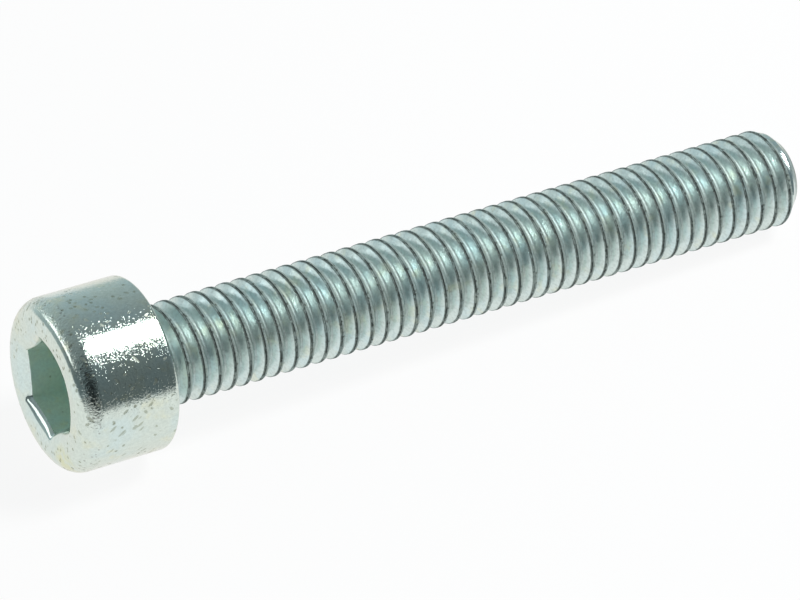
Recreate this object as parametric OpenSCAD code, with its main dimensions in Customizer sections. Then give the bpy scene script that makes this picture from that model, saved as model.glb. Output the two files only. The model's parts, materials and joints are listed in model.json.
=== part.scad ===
// Hexagon-socket cylinder-head screw with a rolled thread up to the head.
// It lies as it comes to rest: on the rim of the head and on the last full thread crest.
// Millimetres. The origin is the centre of the bearing face under the head, +Z is up,
// and the screw points along +X, with its tip a little lower than its head.

/* [Head] */
// Diameter of the head
head_d = 8.28; // [6.8:0.01:9.4]
// Height of the head, from its top to its bearing face
head_h = 4.82; // [4.2:0.01:6]
// Rounding of the top edge, left by the forging die
head_edge_r = 0.95; // [0.2:0.01:1.1]
// Rounding of the edge round the bearing face
head_rim_r = 0.2; // [0.05:0.01:0.4]

/* [Hex socket] */
// Distance across the flats of the socket
socket_af = 4.02; // [2.5:0.01:4.2]
// Depth of the flats below the top of the head
socket_depth = 2.5; // [1.2:0.05:2.8]
// Diameter of the countersink at the mouth
mouth_d = 5.4; // [4.9:0.01:5.8]
// Angle of the mouth countersink, from side to side
mouth_angle = 128; // [105:1:145]
// Angle of the conical floor, from side to side
floor_angle = 140; // [120:1:160]
// How far the socket is turned about the screw's axis, in degrees
socket_turn = -13; // [-30:1:30]

/* [Shank] */
// Length from the bearing face to the tip
shank_l = 35; // [8:0.5:60]
// Diameter of the plain neck under the head
neck_d = 4.5; // [4.1:0.01:4.8]
// Length of the plain neck
neck_l = 0.4; // [0.3:0.05:1.5]
// Fillet where the neck meets the bearing face
fillet_r = 0.2; // [0.05:0.01:0.28]
// Length of the chamfer at the tip
tip_l = 0.68; // [0.3:0.01:1.2]
// Diameter of the flat end of the tip
tip_d = 3.5; // [2.8:0.01:3.8]

/* [Thread] */
// Diameter over the thread crests
crest_d = 4.83; // [4.7:0.01:5]
// Pitch of the right-hand thread
pitch = 0.8; // [0.7:0.01:1]
// Angle between the two flanks of a groove
flank_angle = 60; // [55:1:65]
// Width of the flat on a crest
crest_w = 0.2; // [0.05:0.01:0.25]
// Width of the flat at a root
root_w = 0.13; // [0.08:0.01:0.2]
// Length over which the thread runs out into the neck
runout_l = 0.5; // [0.2:0.05:1.5]
// Turn of the thread about the screw's axis, in degrees: 0 puts a crest straight under the bearing face
thread_turn = -9; // [-180:1:180]
// Flats that one turn of the thread is made of
thread_sides = 24; // [16:4:28]

/* [Hidden] */
$fn = 96;

head_r = head_d / 2;
neck_r = neck_d / 2;
tip_r = tip_d / 2;
crest_r = crest_d / 2;
mouth_r = mouth_d / 2;
socket_corner_r = socket_af / 2 / cos(30);
flank_w = (pitch - crest_w - root_w) / 2;
root_r = crest_r - flank_w / tan(flank_angle / 2);

// The threaded solid starts inside the neck and grows out of the neck's end
neck_step = 0.04;
stub_r = neck_r - neck_step;
stub_z = neck_l / 2;

// Edges of a crest and of a root along one pitch, from the middle of the crest, and their radii
edge_z = [-crest_w / 2, crest_w / 2, crest_w / 2 + flank_w, crest_w / 2 + flank_w + root_w];
edge_r = [crest_r, crest_r, root_r, root_r];
edges = len(edge_z);
// Whole pitches, from below the stub to past the tip
first_pitch = floor(stub_z / pitch) - 3;
last_pitch = ceil(shank_l / pitch) + 2;
levels = edges * (last_pitch - first_pitch);
crest_start_z = -pitch * thread_turn / 360;

// Tilt at rest: the head's rim and the last full crest below the axis touch one flat surface
full_thread_l = shank_l - tip_l - crest_w / 2;
last_crest_z = crest_start_z + pitch * floor((full_thread_l - crest_start_z) / pitch);
rest_tilt = atan((head_r - crest_r) / (last_crest_z + head_rim_r));

// Length that a cut runs past the face it starts from
past = 1;

// Half section of the head and neck: x is the radius, y runs from the top of the head to the tip
module head_section() {
    difference() {
        union() {
            translate([0, head_edge_r - head_h])
                square([head_r, head_h - head_edge_r - head_rim_r]);
            translate([0, -head_h]) square([head_r - head_edge_r, head_h]);
            translate([0, -head_rim_r]) square([head_r - head_rim_r, head_rim_r]);
            square([neck_r + fillet_r, fillet_r]);
            square([neck_r, neck_l]);
            translate([head_r - head_edge_r, head_edge_r - head_h]) edge_quarter(head_edge_r, -1);
            translate([head_r - head_rim_r, -head_rim_r]) edge_quarter(head_rim_r, 1);
        }
        translate([neck_r + fillet_r, fillet_r]) circle(fillet_r);
    }
}

// Quarter disc that rounds an outer edge, above (1) or below (-1) its centre
module edge_quarter(r, side) {
    intersection() {
        circle(r);
        translate([0, side > 0 ? 0 : -r]) square(r);
    }
}

// What the key enters: the hexagon down to its conical floor, and the countersunk mouth
module socket_cut() {
    floor_h = socket_corner_r / tan(floor_angle / 2);
    mouth_slope = tan(mouth_angle / 2);
    mouth_h = mouth_r / mouth_slope;
    translate([0, 0, -head_h]) {
        intersection() {
            rotate(socket_turn) translate([0, 0, -past])
                cylinder(h = past + socket_depth + floor_h, r = socket_corner_r, $fn = 6);
            union() {
                translate([0, 0, -2 * past]) cylinder(h = 2 * past + socket_depth, r = head_r);
                translate([0, 0, socket_depth]) cylinder(h = floor_h, r1 = socket_corner_r, r2 = 0);
            }
        }
        translate([0, 0, -past])
            cylinder(h = past + mouth_h, r1 = mouth_r + past * mouth_slope, r2 = 0);
    }
}

// Place along the axis of one thread edge on one side of the thread, before the ends are cut
function thread_z(level, side) =
    crest_start_z + edge_z[level % edges]
    + pitch * (first_pitch + floor(level / edges) + side / thread_sides);

// Radius of a thread edge, after its run-out into the neck and the chamfer of the tip
function thread_r(level, z) =
    let (grown = max(0, min(1, (z - neck_l) / runout_l)))
    let (tip_limit = tip_r + (crest_r - tip_r) * (shank_l - z) / tip_l)
    min(stub_r + (edge_r[level % edges] - stub_r) * grown, tip_limit);

function ring_point(side, r, z) =
    let (a = 360 * side / thread_sides)
    [r * cos(a), r * sin(a), z];

// Number of a thread point: the ring at the stub, the ring at the tip, then the levels between.
// Past the last side, the thread has climbed by one pitch.
function thread_point(level, side) =
    side == thread_sides ? thread_point(level + edges, 0) :
    let (z = thread_z(level, side))
    z <= stub_z ? side :
    z >= shank_l ? thread_sides + side :
    (level + 2) * thread_sides + side;

// Right-hand thread as one closed solid, from inside the neck to the flat end of the tip
module thread_solid() {
    last_side = thread_sides - 1;
    points = concat(
        [for (side = [0:last_side]) ring_point(side, stub_r, stub_z)],
        [for (side = [0:last_side]) ring_point(side, tip_r, shank_l)],
        [for (level = [0:levels - 1], side = [0:last_side])
            let (z = thread_z(level, side))
            ring_point(side, thread_r(level, z), z)]);
    flanks = [
        for (level = [0:levels - 2], side = [0:last_side])
            let (a = thread_point(level, side), b = thread_point(level, side + 1))
            let (c = thread_point(level + 1, side + 1), d = thread_point(level + 1, side))
            for (face = [[a, d, c], [a, c, b]])
                if (face[0] != face[1] && face[1] != face[2] && face[2] != face[0]) face];
    stub_end = [for (side = [0:last_side]) side];
    tip_end = [for (side = [last_side:-1:0]) thread_sides + side];
    polyhedron(points, concat(flanks, [stub_end, tip_end]));
}

module screw() {
    color("lightsteelblue")
        rotate([0, 90 + rest_tilt, 0]) {
            difference() {
                rotate_extrude() head_section();
                socket_cut();
            }
            thread_solid();
        }
}

screw();
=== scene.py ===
# A zinc-plated cap screw with a hexagon socket, lying on a white table.
# The screw is modelled upright in millimetres, with its axis on Z, its bearing face at 0 and its head
# below that, and is then laid down in metres where the frame has it.
import json
import math

import bmesh
import bpy
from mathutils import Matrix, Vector


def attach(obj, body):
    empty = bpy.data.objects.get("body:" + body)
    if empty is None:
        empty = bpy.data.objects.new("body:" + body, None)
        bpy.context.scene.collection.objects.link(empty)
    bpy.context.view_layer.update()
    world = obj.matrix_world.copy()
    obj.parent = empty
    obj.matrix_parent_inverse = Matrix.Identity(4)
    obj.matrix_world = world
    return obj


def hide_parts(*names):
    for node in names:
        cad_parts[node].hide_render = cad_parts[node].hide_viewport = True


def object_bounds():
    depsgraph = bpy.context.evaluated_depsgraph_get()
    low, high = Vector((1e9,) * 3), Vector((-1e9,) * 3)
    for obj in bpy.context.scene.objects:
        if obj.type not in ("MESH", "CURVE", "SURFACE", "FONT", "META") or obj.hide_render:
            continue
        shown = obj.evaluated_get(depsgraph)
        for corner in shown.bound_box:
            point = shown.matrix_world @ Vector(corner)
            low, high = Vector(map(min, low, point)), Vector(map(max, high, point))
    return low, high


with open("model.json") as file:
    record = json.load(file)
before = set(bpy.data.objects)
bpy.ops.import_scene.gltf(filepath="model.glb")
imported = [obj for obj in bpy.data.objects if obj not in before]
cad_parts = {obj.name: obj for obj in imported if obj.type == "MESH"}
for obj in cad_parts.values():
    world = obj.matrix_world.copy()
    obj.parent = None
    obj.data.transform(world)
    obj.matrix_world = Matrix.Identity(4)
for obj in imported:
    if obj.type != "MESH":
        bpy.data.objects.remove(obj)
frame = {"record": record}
cad_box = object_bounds()

mounts = {mount["name"]: mount for mount in frame["record"]["mounts"]}
MM = 0.001

# Head, in millimetres
HEAD_R = mounts["head"]["dims"]["r_mm"]
HEAD_H = 4.82
HEAD_EDGE_R = 0.95
HEAD_RIM_R = 0.2
HEAD_SIDES = 144
WALL_TOP = HEAD_EDGE_R - HEAD_H
# Width of the narrow rows of faces beside a rounding, which keep the flat next to it flat
SUPPORT = 0.05

# Hexagon socket, in millimetres
SOCKET_AF = 4.02
SOCKET_CORNER_R = SOCKET_AF / 2 / math.cos(math.radians(30))
SOCKET_DEPTH = 2.5
SOCKET_TURN = math.radians(-13)
SOCKET_FLOOR_ANGLE = 140
SOCKET_FLOOR_SLOPE = 1 / math.tan(math.radians(SOCKET_FLOOR_ANGLE / 2))
SOCKET_FLOOR_Z = SOCKET_DEPTH - HEAD_H
# A height between the point of the socket's floor and the bearing face
SOCKET_END_Z = -1
CORNER_BEVEL = 0.08
FLAT_EDGE_R = 0.03
# Turn that puts a vertex of a ring on each corner of the socket
HEX_TURN = SOCKET_TURN - math.radians(30)

# Mouth of the socket, in millimetres, with the shares by which it is curved and scalloped
MOUTH_R = 2.7
MOUTH_EDGE_R = 0.08
MOUTH_DEPTH = 0.3
MOUTH_BEND = 0.8
MOUTH_SCALLOP = 0.22
MOUTH_ROWS = 5

# Shank and thread, in millimetres
SHANK_L = 35
NECK_R = 2.25
NECK_L = 0.4
FILLET_R = 0.2
STUB_R = NECK_R - 0.04
RUNOUT_L = 0.5
CREST_R = 2.415
PITCH = 0.8
CREST_W = 0.2
ROOT_W = 0.13
FLANK_ANGLE = 60
FLANK_W = (PITCH - CREST_W - ROOT_W) / 2
FLANK_H = FLANK_W / math.tan(math.radians(FLANK_ANGLE / 2))
ROOT_R = CREST_R - FLANK_H
CREST_ROUNDING = 0.07
ROOT_ROUNDING = 0.06
LAP_W = 0.1
LAP_DEPTH = 0.045
LAP_ROUNDING = 0.02
THREAD_TURN = -9
CREST_START = -PITCH * THREAD_TURN / 360
TURN_STEPS = 72
SPARE_TURNS = 2

# Tip, in millimetres. The last groove is filled by a share, up to a radius below the crests.
TIP_L = 0.68
TIP_R = 1.75
TIP_FINE_L = 1.5 * TIP_L
TIP_FADE_L = 0.85
TIP_FILL_R = CREST_R - 0.2
TIP_FILL = 0.9
TIP_DISH = 0.04

# How the screw lies: its axis drops from head to tip
axis = mounts["bearing_face"]["axis"]
REST_TILT = math.atan2(-axis[2], axis[0])
TABLE_Z = cad_box[0][2]

# How close two measures count as equal, and how close two points are merged, in millimetres
LOOSE = 0.01
NEAR = 0.004
EXACT = 0.001
MERGE_GAP = 0.0005
# Upward parts of a face's normal: of a wall, of a flat in the socket and of the sloping mouth
WALL_SLOPE = 0.02
FLAT_SLOPE = 0.1
MOUTH_SLOPE = 0.5
# Limits that tell the edges of the socket apart, and the fewest sides of a face that closes an end
FLAT_EDGE_MAX_R = MOUTH_R - 0.2
FLAT_EDGE_MAX_Z = 0.8 - HEAD_H
SOCKET_CORNER_MIN_L = 1
END_FACE_MIN_SIDES = 9
SMOOTH_ANGLE = math.radians(35)


# Modelling helpers

def start_edit():
    bpy.ops.object.mode_set(mode="EDIT")


def end_edit():
    bpy.ops.object.mode_set(mode="OBJECT")


def near(a, b, slack=NEAR):
    return abs(a - b) < slack


def radius(point):
    return math.hypot(point.co.x, point.co.y)


def pick(kind, test):
    """Selects the points, edges or faces that pass the test, and nothing else."""
    bpy.ops.mesh.select_mode(type=kind)
    bpy.ops.mesh.select_all(action="DESELECT")
    mesh = bpy.context.object.data
    shape = bmesh.from_edit_mesh(mesh)
    shape.normal_update()
    for part in {"VERT": shape.verts, "EDGE": shape.edges, "FACE": shape.faces}[kind]:
        if test(part):
            part.select_set(True)
    bmesh.update_edit_mesh(mesh)


def pick_level_edges(z):
    pick("EDGE", lambda edge: all(near(point.co.z, z) for point in edge.verts))


def pick_end_face(z):
    """Selects the many-sided face that closes an end."""
    def is_end(face):
        return len(face.verts) >= END_FACE_MIN_SIDES and all(near(point.co.z, z) for point in face.verts)

    pick("FACE", is_end)


def pick_open_edges(test=lambda edge: True):
    pick("EDGE", lambda edge: len(edge.link_faces) < 2 and test(edge))


def reshape(move, test=lambda point: True):
    """Moves each point that passes the test to the radius and height that move(r, z) gives."""
    mesh = bpy.context.object.data
    shape = bmesh.from_edit_mesh(mesh)
    for point in shape.verts:
        if test(point):
            old_r = radius(point)
            new_r, new_z = move(old_r, point.co.z)
            point.co = (point.co.x * new_r / old_r, point.co.y * new_r / old_r, new_z)
    bmesh.update_edit_mesh(mesh)


def round_edges(width, segments):
    bpy.ops.mesh.bevel(offset=width, offset_type="OFFSET", segments=segments, affect="EDGES")


def round_corners(width):
    """Rounds the selected corners of a wire."""
    bpy.ops.mesh.bevel(offset=width, offset_type="OFFSET", segments=3, affect="VERTICES")


def merge_doubles():
    bpy.ops.mesh.select_all(action="SELECT")
    bpy.ops.mesh.remove_doubles(threshold=MERGE_GAP)


# Head

def forge_head():
    """A cylinder with its two edges rounded, and rows along its wall that keep the wall straight."""
    bpy.ops.object.select_all(action="DESELECT")
    bpy.ops.mesh.primitive_cylinder_add(
        vertices=HEAD_SIDES, radius=HEAD_R, depth=HEAD_H,
        location=(0, 0, -HEAD_H / 2), rotation=(0, 0, HEX_TURN))
    head = bpy.context.object
    head.name = "plated_screw"
    bpy.ops.object.transform_apply(location=True, rotation=True, scale=True)
    start_edit()
    pick_level_edges(-HEAD_H)
    round_edges(HEAD_EDGE_R, 14)
    pick_level_edges(0)
    round_edges(HEAD_RIM_R, 6)
    quarters = (WALL_TOP * 0.75, WALL_TOP * 0.5, WALL_TOP * 0.25)
    for row in (WALL_TOP + SUPPORT, *quarters, -HEAD_RIM_R - SUPPORT):
        pick("FACE", lambda face: abs(face.normal.z) < WALL_SLOPE)
        bpy.ops.mesh.bisect(plane_co=(0, 0, row), plane_no=(0, 0, 1))
    return head


def dish_mouth():
    """Curves the mouth, steeper towards the flats, and a little deeper along a flat than at a corner."""
    mesh = bpy.context.object.data
    shape = bmesh.from_edit_mesh(mesh)
    for point in shape.verts:
        share = (point.co.z + HEAD_H) / MOUTH_DEPTH
        if EXACT < share < 1 + EXACT and radius(point) < MOUTH_R:
            turn = math.atan2(point.co.y, point.co.x) - SOCKET_TURN
            along_flat = (1 - math.cos(6 * turn)) / 2
            depth = MOUTH_DEPTH * ((1 - MOUTH_BEND) * share + MOUTH_BEND * share ** 2)
            point.co.z = depth * (1 + MOUTH_SCALLOP * along_flat) - HEAD_H
    bmesh.update_edit_mesh(mesh)


def on_socket_floor(r, z):
    """Drops a point on to the conical floor."""
    return r, (SOCKET_CORNER_R - r) * SOCKET_FLOOR_SLOPE + SOCKET_FLOOR_Z


def punch_socket():
    """The countersunk mouth, the six flats and the conical floor."""
    pick_end_face(-HEAD_H)
    top_w = HEAD_R - HEAD_EDGE_R - MOUTH_R
    for width in (SUPPORT, top_w - SUPPORT - 2 * MOUTH_EDGE_R, 2 * MOUTH_EDGE_R):
        bpy.ops.mesh.inset(thickness=width)
    bpy.ops.mesh.delete(type="ONLY_FACE")
    bpy.ops.mesh.primitive_circle_add(
        vertices=6, radius=SOCKET_CORNER_R,
        location=(0, 0, MOUTH_DEPTH - HEAD_H), rotation=(0, 0, HEX_TURN))
    bpy.ops.mesh.subdivide(number_cuts=HEAD_SIDES // 6 - 1)
    pick_open_edges()
    bpy.ops.mesh.bridge_edge_loops(number_cuts=MOUTH_ROWS)
    dish_mouth()
    pick_open_edges()
    bpy.ops.mesh.extrude_region_move()
    reshape(on_socket_floor, lambda point: point.select)
    # A ring halfway down the floor, then its point
    bpy.ops.mesh.extrude_region_move()
    bpy.ops.transform.resize(value=(0.5, 0.5, 1))
    reshape(on_socket_floor, lambda point: point.select)
    bpy.ops.mesh.extrude_region_move()
    bpy.ops.mesh.merge(type="CENTER")
    bpy.ops.transform.translate(value=(0, 0, SOCKET_CORNER_R * SOCKET_FLOOR_SLOPE / 2))
    soften_socket()


def soften_socket():
    """Rounds the socket's corners, the upper edge of the flats and the edge of the mouth."""
    def is_corner(edge):
        a, b = edge.verts
        at_corner = radius(a) > SOCKET_CORNER_R - LOOSE and near(radius(a), radius(b))
        return at_corner and abs(a.co.z - b.co.z) > SOCKET_CORNER_MIN_L

    def is_flat_edge(edge):
        slopes = sorted(abs(face.normal.z) for face in edge.link_faces)
        inside = all(radius(point) < FLAT_EDGE_MAX_R for point in edge.verts)
        high = edge.verts[0].co.z < FLAT_EDGE_MAX_Z
        return inside and high and slopes[0] < FLAT_SLOPE and slopes[-1] > MOUTH_SLOPE

    def is_mouth_edge(edge):
        return all(near(radius(point), MOUTH_R) and near(point.co.z, -HEAD_H) for point in edge.verts)

    pick("EDGE", is_corner)
    round_edges(CORNER_BEVEL, 3)
    pick("EDGE", is_flat_edge)
    round_edges(FLAT_EDGE_R, 3)
    pick("EDGE", is_mouth_edge)
    round_edges(MOUTH_EDGE_R, 4)


def turn_neck():
    """The bearing face and the short neck, open at its end for the thread."""
    pick_end_face(0)
    bpy.ops.mesh.inset(thickness=SUPPORT)
    bpy.ops.mesh.inset(thickness=HEAD_R - HEAD_RIM_R - SUPPORT - NECK_R)
    bpy.ops.mesh.extrude_region_move(TRANSFORM_OT_translate={"value": (0, 0, NECK_L)})
    pick("EDGE", lambda edge: all(near(radius(v), NECK_R, LOOSE) and near(v.co.z, 0) for v in edge.verts))
    round_edges(FILLET_R, 5)
    pick_end_face(NECK_L)
    bpy.ops.mesh.delete(type="ONLY_FACE")


# Thread

def draw_thread_profile():
    """One pitch of the rolled thread as a wire, from root to root, rounded at its root and crest.

    The crest has the lap that rolling leaves: a shallow seam along its side towards the head.
    """
    bpy.ops.object.select_all(action="DESELECT")
    bpy.ops.mesh.primitive_plane_add(size=1)
    thread = bpy.context.object
    start_edit()
    bpy.ops.mesh.merge(type="CENTER")
    bpy.ops.transform.translate(value=(ROOT_R, 0, CREST_START - PITCH * (SPARE_TURNS + 0.5)))
    steps = ((0, ROOT_W / 2), (FLANK_H, FLANK_W), (-LAP_DEPTH, LAP_W / 2), (LAP_DEPTH, LAP_W / 2),
             (0, CREST_W - LAP_W), (-FLANK_H, FLANK_W), (0, ROOT_W / 2))
    for out, along in steps:
        bpy.ops.mesh.extrude_region_move(TRANSFORM_OT_translate={"value": (out, 0, along)})
    crest_z = CREST_START - PITCH * SPARE_TURNS
    pick("VERT", lambda point: near(point.co.x, CREST_R, EXACT) and point.co.z < crest_z + LOOSE)
    round_corners(LAP_ROUNDING)
    pick("VERT", lambda point: near(point.co.x, CREST_R, EXACT) and near(point.co.z, crest_z + CREST_W / 2))
    round_corners(CREST_ROUNDING)
    pick("VERT", lambda point: point.co.x < ROOT_R + EXACT and len(point.link_edges) == 2)
    round_corners(ROOT_ROUNDING)
    end_edit()
    return thread


def tip_limit(z):
    """Largest radius that the chamfer at the tip leaves."""
    return TIP_R + (CREST_R - TIP_R) * (SHANK_L - z) / TIP_L


def thread_envelope(r, z):
    """Radius of a thread point after its run-out into the neck and the chamfer of the tip.

    The last groove gets shallow towards the end, where the chamfered blank was too thin to roll.
    """
    grown = min(1, max(0, (z - NECK_L) / RUNOUT_L))
    faded = min(1, max(0, (z - SHANK_L + TIP_FADE_L) / (TIP_FADE_L - TIP_L)))
    r = min(STUB_R + (r - STUB_R) * grown, tip_limit(z))
    filled = min(TIP_FILL_R, tip_limit(z))
    return r + max(0, filled - r) * faded * TIP_FILL, z


def roll_thread():
    """Sweeps the profile along its helix, cuts both ends and closes the tip."""
    thread = draw_thread_profile()
    screw = thread.modifiers.new("helix", "SCREW")
    screw.axis = "Z"
    screw.screw_offset = PITCH
    screw.iterations = math.ceil(SHANK_L / PITCH) + 2 * SPARE_TURNS
    screw.steps = TURN_STEPS
    screw.render_steps = TURN_STEPS
    bpy.ops.object.modifier_apply(modifier=screw.name)
    start_edit()
    merge_doubles()
    bpy.ops.mesh.select_all(action="SELECT")
    bpy.ops.mesh.bisect(plane_co=(0, 0, NECK_L), plane_no=(0, 0, 1), clear_inner=True)
    bpy.ops.mesh.select_all(action="SELECT")
    bpy.ops.mesh.bisect(plane_co=(0, 0, SHANK_L), plane_no=(0, 0, 1), clear_outer=True)
    pick("FACE", lambda face: face.calc_center_median().z > SHANK_L - TIP_FINE_L)
    bpy.ops.mesh.subdivide(number_cuts=1)
    reshape(thread_envelope)
    pick_open_edges(lambda edge: edge.verts[0].co.z > SHANK_L / 2)
    bpy.ops.mesh.edge_face_add()
    bpy.ops.mesh.inset(thickness=SUPPORT)
    bpy.ops.mesh.inset(thickness=TIP_R / 2)
    bpy.ops.transform.translate(value=(0, 0, -TIP_DISH))
    end_edit()
    return thread


def make_screw():
    """Head and thread as one closed skin, laid down in metres as the frame has it."""
    thread = roll_thread()
    screw = forge_head()
    punch_socket()
    turn_neck()
    end_edit()
    thread.select_set(True)
    bpy.context.view_layer.objects.active = screw
    bpy.ops.object.join()
    start_edit()
    pick_open_edges()
    bpy.ops.mesh.bridge_edge_loops()
    merge_doubles()
    bpy.ops.mesh.normals_make_consistent(inside=False)
    end_edit()
    for face in screw.data.polygons:
        face.material_index = finish_of(face.center)
    screw.scale = (MM, MM, MM)
    screw.rotation_euler = (0, math.pi / 2 + REST_TILT, 0)
    bpy.ops.object.transform_apply(location=True, rotation=True, scale=True)
    bpy.ops.object.shade_smooth_by_angle(angle=SMOOTH_ANGLE)
    return screw


def finish_of(place):
    """Which finish a face has: 0 on the head, 1 on the thread, 2 inside the socket."""
    if place.z > NECK_L / 2:
        return 1
    inside = math.hypot(place.x, place.y) < SOCKET_CORNER_R
    return 2 if inside and MOUTH_DEPTH + FLAT_EDGE_R - HEAD_H < place.z < SOCKET_END_Z else 0


# Finishes: node helpers

def feed(tree, socket, value):
    """Links a socket, or sets a plain value."""
    if isinstance(value, bpy.types.NodeSocket):
        tree.links.new(value, socket)
    else:
        socket.default_value = value


def maths(tree, operation, a, b=0.0):
    node = tree.nodes.new("ShaderNodeMath")
    node.operation = operation
    feed(tree, node.inputs[0], a)
    feed(tree, node.inputs[1], b)
    return node.outputs[0]


def combined(tree, operation, first, *others):
    """One value from several, taken in turn."""
    for other in others:
        first = maths(tree, operation, first, other)
    return first


def product(tree, *values):
    return combined(tree, "MULTIPLY", *values)


def total(tree, *values):
    return combined(tree, "ADD", *values)


def largest(tree, *values):
    return combined(tree, "MAXIMUM", *values)


def scaled(tree, vector, factors):
    node = tree.nodes.new("ShaderNodeVectorMath")
    node.operation = "MULTIPLY"
    feed(tree, node.inputs[0], vector)
    node.inputs[1].default_value = factors
    return node.outputs[0]


def remap(tree, value, low, high, to_low=0.0, to_high=1.0):
    """Smooth step from low to high."""
    node = tree.nodes.new("ShaderNodeMapRange")
    node.interpolation_type = "SMOOTHSTEP"
    for name, setting in (("Value", value), ("From Min", low), ("From Max", high),
                          ("To Min", to_low), ("To Max", to_high)):
        feed(tree, node.inputs[name], setting)
    return node.outputs["Result"]


def between(tree, mask, low, high):
    """A value that goes from low to high with a mask."""
    return remap(tree, mask, 0.0, 1.0, low, high)


def blend(tree, amount, first, second):
    """From the first colour to the second."""
    node = tree.nodes.new("ShaderNodeMix")
    node.data_type = "RGBA"
    feed(tree, node.inputs[0], amount)
    feed(tree, node.inputs[6], first)
    feed(tree, node.inputs[7], second)
    return node.outputs[2]


def tinted(tree, colour, mask, strength, tint):
    """The colour with a tint laid over it, where the mask has it and at most at the given strength."""
    return blend(tree, product(tree, mask, strength), colour, tint)


def noise(tree, vector, scale, detail=2.0, roughness=0.55):
    node = tree.nodes.new("ShaderNodeTexNoise")
    settings = (("Vector", vector), ("Scale", scale), ("Detail", detail), ("Roughness", roughness))
    for name, setting in settings:
        feed(tree, node.inputs[name], setting)
    return node.outputs["Fac"]


def new_group(name, inputs, outputs):
    """A node group with named sockets. Returns it with its input and output nodes."""
    tree = bpy.data.node_groups.new(name, "ShaderNodeTree")
    for socket, kind in inputs:
        tree.interface.new_socket(name=socket, in_out="INPUT", socket_type="NodeSocket" + kind)
    for socket, kind in outputs:
        tree.interface.new_socket(name=socket, in_out="OUTPUT", socket_type="NodeSocket" + kind)
    return tree, tree.nodes.new("NodeGroupInput").outputs, tree.nodes.new("NodeGroupOutput").inputs


def use_group(tree, group, **settings):
    node = tree.nodes.new("ShaderNodeGroup")
    node.node_tree = group
    for name, setting in settings.items():
        feed(tree, node.inputs[name], setting)
    return node.outputs


# Finishes: effects that the metals share

PLATE_SPECULAR = (0.92, 0.9, 0.87, 1)
FILM_GREY = (0.2, 0.24, 0.22, 1)
# How much the ragged outline adds to a speck's distance from its centre, and its mean
RAGGED = 0.35
RAGGED_MEAN = RAGGED / 2


def film_group():
    """Passivated zinc: a base colour with cooler and warmer patches, and a fine uneven tone."""
    tree, given, result = new_group(
        "passivate film",
        (("Vector", "Vector"), ("Base", "Color"), ("Cool", "Color"), ("Warm", "Color"), ("Patch", "Float")),
        (("Color", "Color"),))
    cool = remap(tree, noise(tree, given["Vector"], given["Patch"], 3.0), 0.42, 0.66)
    warm_place = scaled(tree, given["Vector"], (1.7, -1.7, 1.7))
    warm = remap(tree, noise(tree, warm_place, given["Patch"], 4.0), 0.54, 0.72)
    colour = blend(tree, cool, given["Base"], given["Cool"])
    colour = blend(tree, warm, colour, given["Warm"])
    grey = remap(tree, noise(tree, given["Vector"], 6.0, 3.0, 0.7), 0.3, 0.7, 0.16, 0.0)
    tree.links.new(blend(tree, grey, colour, FILM_GREY), result["Color"])
    return tree


def grain_group():
    """Height of the plated skin: fine pebbles, and fine lines round the axis."""
    tree, given, result = new_group(
        "plating grain", (("Vector", "Vector"), ("Scale", "Float"), ("Lines", "Float")),
        (("Height", "Float"),))
    pebbles = noise(tree, given["Vector"], given["Scale"], 2.0, 0.7)
    rings = noise(tree, scaled(tree, given["Vector"], (0.2, 0.2, 1)), given["Scale"], 2.0)
    share = maths(tree, "SUBTRACT", 1.0, given["Lines"])
    height = total(tree, product(tree, pebbles, share), product(tree, rings, given["Lines"]))
    tree.links.new(height, result["Height"])
    return tree


def speck_group():
    """Scattered specks: a share of the cells has one, with a ragged outline."""
    tree, given, result = new_group(
        "specks", (("Vector", "Vector"), ("Scale", "Float"), ("Share", "Float"), ("Size", "Float")),
        (("Mask", "Float"),))
    cells = tree.nodes.new("ShaderNodeTexVoronoi")
    tree.links.new(given["Vector"], cells.inputs["Vector"])
    tree.links.new(given["Scale"], cells.inputs["Scale"])
    ragged = product(tree, noise(tree, given["Vector"], 9.0, 3.0), RAGGED)
    distance = total(tree, cells.outputs["Distance"], ragged)
    draw = tree.nodes.new("ShaderNodeSeparateColor")
    tree.links.new(cells.outputs["Color"], draw.inputs[0])
    chosen = maths(tree, "LESS_THAN", draw.outputs[0], given["Share"])
    edge = total(tree, given["Size"], RAGGED_MEAN)
    core = remap(tree, distance, edge, product(tree, edge, 0.7))
    tree.links.new(product(tree, chosen, core), result["Mask"])
    return tree


film, grain, specks = film_group(), grain_group(), speck_group()


def scattered(tree, place, **settings):
    """Mask of specks."""
    return use_group(tree, specks, Vector=place, **settings)["Mask"]


def skin_height(tree, bench, scale, lines):
    """Height of the plated skin, up and down from 0."""
    height = use_group(tree, grain, Vector=bench, Scale=scale, Lines=lines)["Height"]
    return maths(tree, "SUBTRACT", height, 0.5)


def metal(name, build, metallic):
    """A metal on the screw's own axes in millimetres. build gives its colour, roughness and height."""
    material = bpy.data.materials.new(name)
    material.use_nodes = True
    tree = material.node_tree
    shader = tree.nodes["Principled BSDF"]
    shader.inputs["Metallic"].default_value = metallic
    shader.inputs["Specular Tint"].default_value = PLATE_SPECULAR
    place = tree.nodes.new("ShaderNodeTexCoord")
    bench = tree.nodes.new("ShaderNodeMapping")
    bench.inputs["Scale"].default_value = (1 / MM, 1 / MM, 1 / MM)
    bench.inputs["Rotation"].default_value = (0, -math.pi / 2 - REST_TILT, 0)
    tree.links.new(place.outputs["Object"], bench.inputs["Vector"])
    colour, roughness, height = build(tree, bench.outputs[0])
    bump = tree.nodes.new("ShaderNodeBump")
    bump.inputs["Distance"].default_value = MM
    tree.links.new(height, bump.inputs["Height"])
    tree.links.new(bump.outputs["Normal"], shader.inputs["Normal"])
    tree.links.new(colour, shader.inputs["Base Color"])
    tree.links.new(roughness, shader.inputs["Roughness"])
    return material


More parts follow.
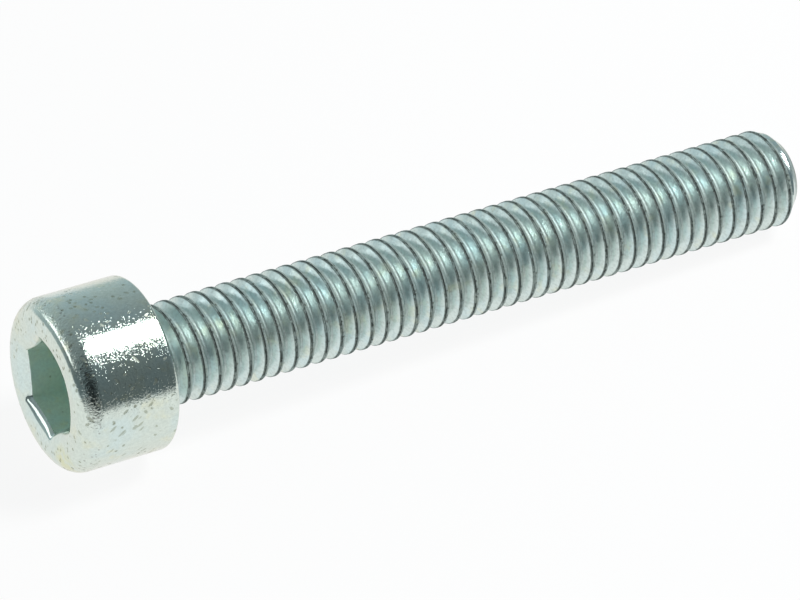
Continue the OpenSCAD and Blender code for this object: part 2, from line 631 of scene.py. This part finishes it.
def off_axis(tree, bench):
    """Distance from the screw's axis."""
    node = tree.nodes.new("ShaderNodeVectorMath")
    node.operation = "LENGTH"
    tree.links.new(scaled(tree, bench, (1, 1, 0)), node.inputs[0])
    return node.outputs["Value"]


def along_axis(tree, bench):
    """Place along the screw's axis, from the bearing face towards the tip."""
    node = tree.nodes.new("ShaderNodeSeparateXYZ")
    tree.links.new(bench, node.inputs[0])
    return node.outputs["Z"]


def spot(tree, bench, place, outer, inner):
    """1 within the inner distance of a place, fading to 0 at the outer distance."""
    node = tree.nodes.new("ShaderNodeVectorMath")
    node.operation = "DISTANCE"
    tree.links.new(bench, node.inputs[0])
    node.inputs[1].default_value = place
    return remap(tree, node.outputs["Value"], outer, inner)


def slanted(tree, bench, turn):
    """Coordinates in which round specks become short dashes along a slanted direction."""
    node = tree.nodes.new("ShaderNodeVectorRotate")
    node.rotation_type = "EULER_XYZ"
    tree.links.new(bench, node.inputs["Vector"])
    node.inputs["Rotation"].default_value = [math.radians(angle) for angle in turn]
    return scaled(tree, node.outputs["Vector"], (0.5, 1.7, 1.7))


# Finish of the head: where each part of it fades from 0 to 1, in millimetres
DIE_EDGE_R = (HEAD_R - 0.46, HEAD_R - 0.26)
DIE_EDGE_Z = (WALL_TOP + 0.04, WALL_TOP - 0.14)
WALL_Z = (WALL_TOP - 0.3, WALL_TOP)
FACE_R = (MOUTH_R - 0.05, MOUTH_R + 0.12)
# Centre of each stain on the top, and the distances at which it begins and is full
STAIN = ((2.8, -2.0, -4.79), 1.1, 0.3)
SMUDGE = ((-0.6, 3.0, -4.82), 0.7, 0.2)
HEAD_FILM = {"Base": (0.675, 0.755, 0.69, 1), "Cool": (0.64, 0.755, 0.73, 1),
             "Warm": (0.71, 0.755, 0.62, 1), "Patch": 0.5}
STAIN_YELLOW = (0.66, 0.68, 0.4, 1)
PIT_OLIVE = (0.22, 0.24, 0.15, 1)
DASH_OLIVE = (0.28, 0.31, 0.21, 1)
FLECK_BROWN = (0.16, 0.13, 0.12, 1)
# Heights of the skin on the wall and elsewhere, of beads and of the die's coarse skin, and depth of specks
WALL_SKIN = 0.011
TOP_SKIN = 0.006
BEAD_H = 0.004
PEEL_H = 0.032
SPECK_DEPTH = 0.003


def head_finish(tree, bench):
    """Bright plating with specks and stains, and a coarse dark skin on the edge that the die formed."""
    r, z = off_axis(tree, bench), along_axis(tree, bench)
    die_edge = product(tree, remap(tree, r, *DIE_EDGE_R), remap(tree, z, *DIE_EDGE_Z))
    wall = remap(tree, z, *WALL_Z)
    face = remap(tree, r, *FACE_R)

    colour = use_group(tree, film, Vector=bench, **HEAD_FILM)["Color"]
    stain = spot(tree, bench, *STAIN)
    dirty = largest(tree, stain, spot(tree, bench, *SMUDGE))
    stain = product(tree, stain, remap(tree, noise(tree, bench, 2.5, 3.0), 0.3, 0.6))
    pits = scattered(tree, bench, Scale=3.4, Share=between(tree, dirty, 0.1, 0.8), Size=0.34)
    pits = product(tree, pits, face)
    rising = scattered(tree, slanted(tree, bench, (20, 35, 50)), Scale=2.1, Share=0.27, Size=0.33)
    falling = scattered(tree, slanted(tree, bench, (-30, -50, 15)), Scale=2.2, Share=0.3, Size=0.33)
    dashes = product(tree, largest(tree, rising, falling), face)
    flecks = scattered(tree, bench, Scale=6.0, Share=0.4, Size=0.42)
    flecks = product(tree, flecks, between(tree, die_edge, 0.0, 0.4))
    colour = tinted(tree, colour, stain, 0.7, STAIN_YELLOW)
    colour = tinted(tree, colour, pits, 0.6, PIT_OLIVE)
    colour = tinted(tree, colour, dashes, 0.5, DASH_OLIVE)
    colour = blend(tree, flecks, colour, FLECK_BROWN)

    dull = largest(tree, pits, dashes, flecks)
    polish = remap(tree, noise(tree, bench, 2.2, 3.0), 0.3, 0.7, 0.06, 0.1)
    roughness = total(tree, polish, product(tree, dull, 0.25))

    level = product(tree, between(tree, wall, TOP_SKIN, WALL_SKIN), between(tree, face, 0.3, 1.0))
    beads = remap(tree, noise(tree, bench, 11.0, 1.0), 0.56, 0.76, 0.0, BEAD_H)
    height = total(tree, product(tree, skin_height(tree, bench, 13.0, 0.45), level),
                   product(tree, beads, wall),
                   product(tree, skin_height(tree, bench, 8.5, 0.0), die_edge, PEEL_H),
                   product(tree, dull, -SPECK_DEPTH))
    return colour, roughness, height


# Finish of the thread: where each part of it fades from 0 to 1, in millimetres
CREST_BAND = (CREST_R - 0.06, CREST_R - 0.02)
ROOT_BAND = (ROOT_R + 0.06, ROOT_R + 0.015)
LAP_BAND = (CREST_R - 0.12, CREST_R - 0.08)
END_EDGE_R = (TIP_R - 0.3, TIP_R - 0.05)
END_EDGE_Z = (SHANK_L - 0.1, SHANK_L - 0.03)
CHAMFER_Z = (SHANK_L - TIP_L - 0.08, SHANK_L - TIP_L + 0.06)
# Where the lap is across a pitch, how far it wanders to either side, and its edge and core, in pitches
LAP_PLACE = 1 - LAP_W / 2 / PITCH
LAP_WANDER = 0.04
LAP_REACH = (0.1, 0.05)
THREAD_FILM = {"Base": (0.75, 0.86, 0.83, 1), "Cool": (0.71, 0.86, 0.86, 1),
               "Warm": (0.78, 0.86, 0.75, 1), "Patch": 0.7}
MOTTLE_GREY = (0.3, 0.36, 0.34, 1)
FLECK_GREY = (0.2, 0.22, 0.2, 1)
CREST_GREY = (0.25, 0.3, 0.28, 1)
# Grey for the roots of the thread: partly duller plating, partly painted shade in the grooves
ROOT_DULL_AND_SHADE_GREY = (0.26, 0.3, 0.28, 1)
# Dark colour in the lap: partly dirt in the seam, partly painted shade in its narrow crease
LAP_DIRT_AND_SHADE = (0.13, 0.15, 0.14, 1)
END_BROWN = (0.27, 0.25, 0.16, 1)
# Heights of the skin on the flanks and along the crests
FLANK_SKIN = 0.009
CREST_SKIN = 0.1


def thread_phase(tree, bench):
    """Place across one pitch, from 0 in the middle of a crest to 1 in the middle of the next."""
    node = tree.nodes.new("ShaderNodeSeparateXYZ")
    tree.links.new(bench, node.inputs[0])
    turn = maths(tree, "ARCTAN2", node.outputs["Y"], node.outputs["X"])
    pitches = maths(tree, "DIVIDE", maths(tree, "SUBTRACT", node.outputs["Z"], CREST_START), PITCH)
    return maths(tree, "FRACT", maths(tree, "SUBTRACT", pitches, maths(tree, "DIVIDE", turn, 2 * math.pi)))


def lap_mask(tree, bench, r):
    """The lap along the crests, which wanders a little and is broken in places."""
    middle = remap(tree, noise(tree, bench, 1.6, 2.0), 0.25, 0.75,
                   LAP_PLACE - LAP_WANDER, LAP_PLACE + LAP_WANDER)
    off_lap = maths(tree, "ABSOLUTE", maths(tree, "SUBTRACT", thread_phase(tree, bench), middle))
    broken = remap(tree, noise(tree, bench, 1.6, 4.0, 0.65), 0.38, 0.56, 0.15, 1.0)
    return product(tree, remap(tree, off_lap, *LAP_REACH), broken, remap(tree, r, *LAP_BAND))


def thread_finish(tree, bench):
    """The same plating on the rolled thread, dull along its crests and lap, and brown round its end. The
    lap and the roots are also darkened, partly with painted shade in these creases.
    """
    r, z = off_axis(tree, bench), along_axis(tree, bench)
    crest = remap(tree, r, *CREST_BAND)
    root = remap(tree, r, *ROOT_BAND)
    chamfer = remap(tree, z, *CHAMFER_Z)
    lap = lap_mask(tree, bench, r)

    colour = use_group(tree, film, Vector=bench, **THREAD_FILM)["Color"]
    mottle = remap(tree, noise(tree, bench, 6.0, 3.0, 0.65), 0.42, 0.64)
    flecks = scattered(tree, bench, Scale=5.0, Share=0.5, Size=0.4)
    flecks = product(tree, flecks, between(tree, crest, 0.12, 0.8))
    end_edge = product(tree, remap(tree, z, *END_EDGE_Z), remap(tree, r, *END_EDGE_R),
                       remap(tree, noise(tree, bench, 2.0, 3.0), 0.3, 0.6, 0.4, 0.85))
    colour = tinted(tree, colour, mottle, 0.34, MOTTLE_GREY)
    colour = blend(tree, flecks, colour, FLECK_GREY)
    colour = tinted(tree, colour, crest, 0.55, CREST_GREY)
    # Darkens the roots a little: partly duller plating, partly painted shade in the grooves
    colour = tinted(tree, colour, root, 0.12, ROOT_DULL_AND_SHADE_GREY)
    # Darkens the lap: partly dirt in the seam, partly painted shade in the crease
    colour = tinted(tree, colour, lap, 0.78, LAP_DIRT_AND_SHADE)
    colour = blend(tree, end_edge, colour, END_BROWN)

    polish = remap(tree, noise(tree, bench, 3.0, 3.0), 0.3, 0.7, 0.29, 0.37)
    roughness = total(tree, polish, product(tree, crest, 0.5), product(tree, root, 0.3),
                      product(tree, chamfer, -0.17), product(tree, total(tree, flecks, lap), 0.2))

    height = product(tree, skin_height(tree, bench, 9.0, 0.0), between(tree, crest, FLANK_SKIN, CREST_SKIN))
    return colour, roughness, height


# Finish of the socket
# Socket colours: partly the chalky film's own green, partly painted bounce light that lightens and greens
# the hollow
SOCKET_FILM_AND_BOUNCE = {"Base": (0.72, 0.88, 0.76, 1), "Cool": (0.68, 0.88, 0.8, 1),
               "Warm": (0.74, 0.85, 0.66, 1), "Patch": 0.9}
SOCKET_STAIN = (0.2, 0.22, 0.14, 1)
SOCKET_SKIN = 0.012


def socket_finish(tree, bench):
    """Chalky plating inside the socket, greener and lighter than the head: partly the film's own tint,
    partly painted light bounced round the hollow.
    """
    colour = use_group(tree, film, Vector=bench, **SOCKET_FILM_AND_BOUNCE)["Color"]
    stains = scattered(tree, bench, Scale=2.6, Share=0.3, Size=0.2)
    colour = tinted(tree, colour, stains, 0.5, SOCKET_STAIN)
    roughness = remap(tree, noise(tree, bench, 3.0, 3.0), 0.3, 0.7, 0.34, 0.46)
    return colour, roughness, product(tree, skin_height(tree, bench, 8.0, 0.2), SOCKET_SKIN)


# Table, lights and camera

def mixed_shader(tree, amount, first, second, output):
    """Sends a mix of two shaders to the output."""
    mix = tree.nodes.new("ShaderNodeMixShader")
    tree.links.new(amount, mix.inputs[0])
    tree.links.new(first.outputs[0], mix.inputs[1])
    tree.links.new(second.outputs[0], mix.inputs[2])
    tree.links.new(mix.outputs[0], output.inputs["Surface"])


def white_table():
    """White for the camera and for reflections, with some of the shadow that falls on it.

    Its right edge is slanted, so that the chamfer at the tip mirrors the dark room beyond it.
    """
    left, right, front, back = -0.036, 0.275, -0.032, 0.4
    front_right_shift = -0.251
    white_share = 0.9
    bpy.ops.object.select_all(action="DESELECT")
    bpy.ops.mesh.primitive_plane_add(size=1, location=((left + right) / 2, (front + back) / 2, TABLE_Z))
    table = bpy.context.object
    table.name = "table"
    table.scale = (right - left, back - front, 1)
    start_edit()
    pick("VERT", lambda point: point.co.x > 0 and point.co.y < 0)
    bpy.ops.transform.translate(value=(front_right_shift, 0, 0))
    end_edit()
    material = bpy.data.materials.new("white_table")
    material.use_nodes = True
    tree = material.node_tree
    tree.nodes.clear()
    output = tree.nodes.new("ShaderNodeOutputMaterial")
    paint = tree.nodes.new("ShaderNodeBsdfDiffuse")
    paint.inputs["Color"].default_value = (0.9, 0.9, 0.9, 1)
    glow = tree.nodes.new("ShaderNodeEmission")
    glow.inputs["Strength"].default_value = 1
    path = tree.nodes.new("ShaderNodeLightPath").outputs
    shown = product(tree, path["Is Camera Ray"], white_share)
    white = largest(tree, shown, path["Is Glossy Ray"], path["Is Transmission Ray"])
    mixed_shader(tree, white, paint, glow, output)
    table.data.materials.append(material)


def dark_patch(tree, direction, azimuth, elevation, edge, core, level):
    """1 away from a direction, falling to level round it. edge and core are cosines of the angle."""
    azimuth, elevation = math.radians(azimuth), math.radians(elevation)
    node = tree.nodes.new("ShaderNodeVectorMath")
    node.operation = "DOT_PRODUCT"
    tree.links.new(direction, node.inputs[0])
    node.inputs[1].default_value = (math.cos(elevation) * math.cos(azimuth),
                                    math.cos(elevation) * math.sin(azimuth), math.sin(elevation))
    return remap(tree, node.outputs["Value"], edge, core, 1.0, level)


def studio_world():
    """A studio that is darker in front and lighter behind, and white for the camera."""
    # Levels from the front, at 0, to the back, at 1
    stops = ((0.0, 0.13), (0.1, 0.16), (0.21, 0.22), (0.54, 0.28), (0.73, 0.36), (0.9, 0.46), (0.97, 0.6))
    tint = Vector((0.92, 1.1, 1.15))
    world = bpy.data.worlds.new("studio")
    bpy.context.scene.world = world
    world.use_nodes = True
    tree = world.node_tree
    tree.nodes.clear()
    output = tree.nodes.new("ShaderNodeOutputWorld")
    direction = tree.nodes.new("ShaderNodeTexCoord").outputs["Generated"]
    parts = tree.nodes.new("ShaderNodeSeparateXYZ")
    tree.links.new(direction, parts.inputs[0])
    depth = tree.nodes.new("ShaderNodeMapRange")
    depth.inputs["From Min"].default_value = -1
    tree.links.new(parts.outputs["Y"], depth.inputs["Value"])
    ramp = tree.nodes.new("ShaderNodeValToRGB")
    tree.links.new(depth.outputs["Result"], ramp.inputs["Fac"])
    while len(ramp.color_ramp.elements) < len(stops):
        ramp.color_ramp.elements.new(0.5)
    for element, (place, level) in zip(ramp.color_ramp.elements, stops):
        element.position = place
        element.color = (*(tint * level), 1)
    dark_front = dark_patch(tree, direction, azimuth=-115, elevation=20, edge=0.72, core=0.96, level=0.16)
    dark_left = dark_patch(tree, direction, azimuth=180, elevation=6, edge=0.8, core=0.98, level=0.6)
    room = tree.nodes.new("ShaderNodeBackground")
    tree.links.new(ramp.outputs["Color"], room.inputs["Color"])
    tree.links.new(product(tree, dark_front, dark_left), room.inputs["Strength"])
    backdrop = tree.nodes.new("ShaderNodeBackground")
    backdrop.inputs["Color"].default_value = (1, 1, 1, 1)
    path = tree.nodes.new("ShaderNodeLightPath").outputs
    mixed_shader(tree, path["Is Camera Ray"], room, backdrop, output)


def softbox(name, size, place, aim, power):
    light = bpy.data.lights.new(name, "AREA")
    light.shape = "RECTANGLE"
    light.size, light.size_y = size
    light.energy = power
    lamp = bpy.data.objects.new(name, light)
    lamp.location = place
    lamp.rotation_euler = (Vector(aim) - Vector(place)).to_track_quat("-Z", "Y").to_euler()
    bpy.context.scene.collection.objects.link(lamp)


def photo_camera():
    """Level camera, set by where the origin is seen in the 800 by 600 picture."""
    image_w, image_h = 800, 600
    origin_px = (137.98, 361.99)
    focal_px = 5518.0
    azimuth, elevation = math.radians(-30.17), math.radians(36.12)
    distance = 0.251985
    data = bpy.data.cameras.new("camera")
    data.sensor_width = 36
    data.lens = focal_px * data.sensor_width / image_w
    data.clip_start = 0.01
    camera = bpy.data.objects.new("camera", data)
    bpy.context.scene.collection.objects.link(camera)
    right = Vector((math.cos(azimuth), math.sin(azimuth), 0))
    forward = Vector((-math.sin(azimuth) * math.cos(elevation),
                      math.cos(azimuth) * math.cos(elevation), -math.sin(elevation)))
    up = right.cross(forward)
    across = (origin_px[0] - image_w / 2) / focal_px * distance
    down = (origin_px[1] - image_h / 2) / focal_px * distance
    camera.location = -(right * across - up * down + forward * distance)
    camera.rotation_euler = forward.to_track_quat("-Z", "Y").to_euler()
    bpy.context.scene.camera = camera


bpy.context.scene.view_settings.view_transform = "Standard"
photo_camera()
screw = make_screw()
# In the order of finish_of, each with how metallic it is
finishes = (("head_zinc", head_finish, 1), ("thread_zinc", thread_finish, 1),
            ("socket_zinc", socket_finish, 0.2))
for name, build, metallic in finishes:
    screw.data.materials.append(metal(name, build, metallic))
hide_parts("screw")
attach(screw, "root")

white_table()
studio_world()
softbox("overhead", size=(0.15, 0.078), place=(0.195, -0.068, 0.25), aim=(0.195, -0.068, 0), power=0.78)
softbox("front", size=(0.09, 0.08), place=(0.25, -0.16, 0.25), aim=(0.25, -0.16, 0), power=0.42)
softbox("side", size=(0.46, 0.1), place=(-0.415, 0.24, 0.14), aim=(0, 0, 0), power=0.22)
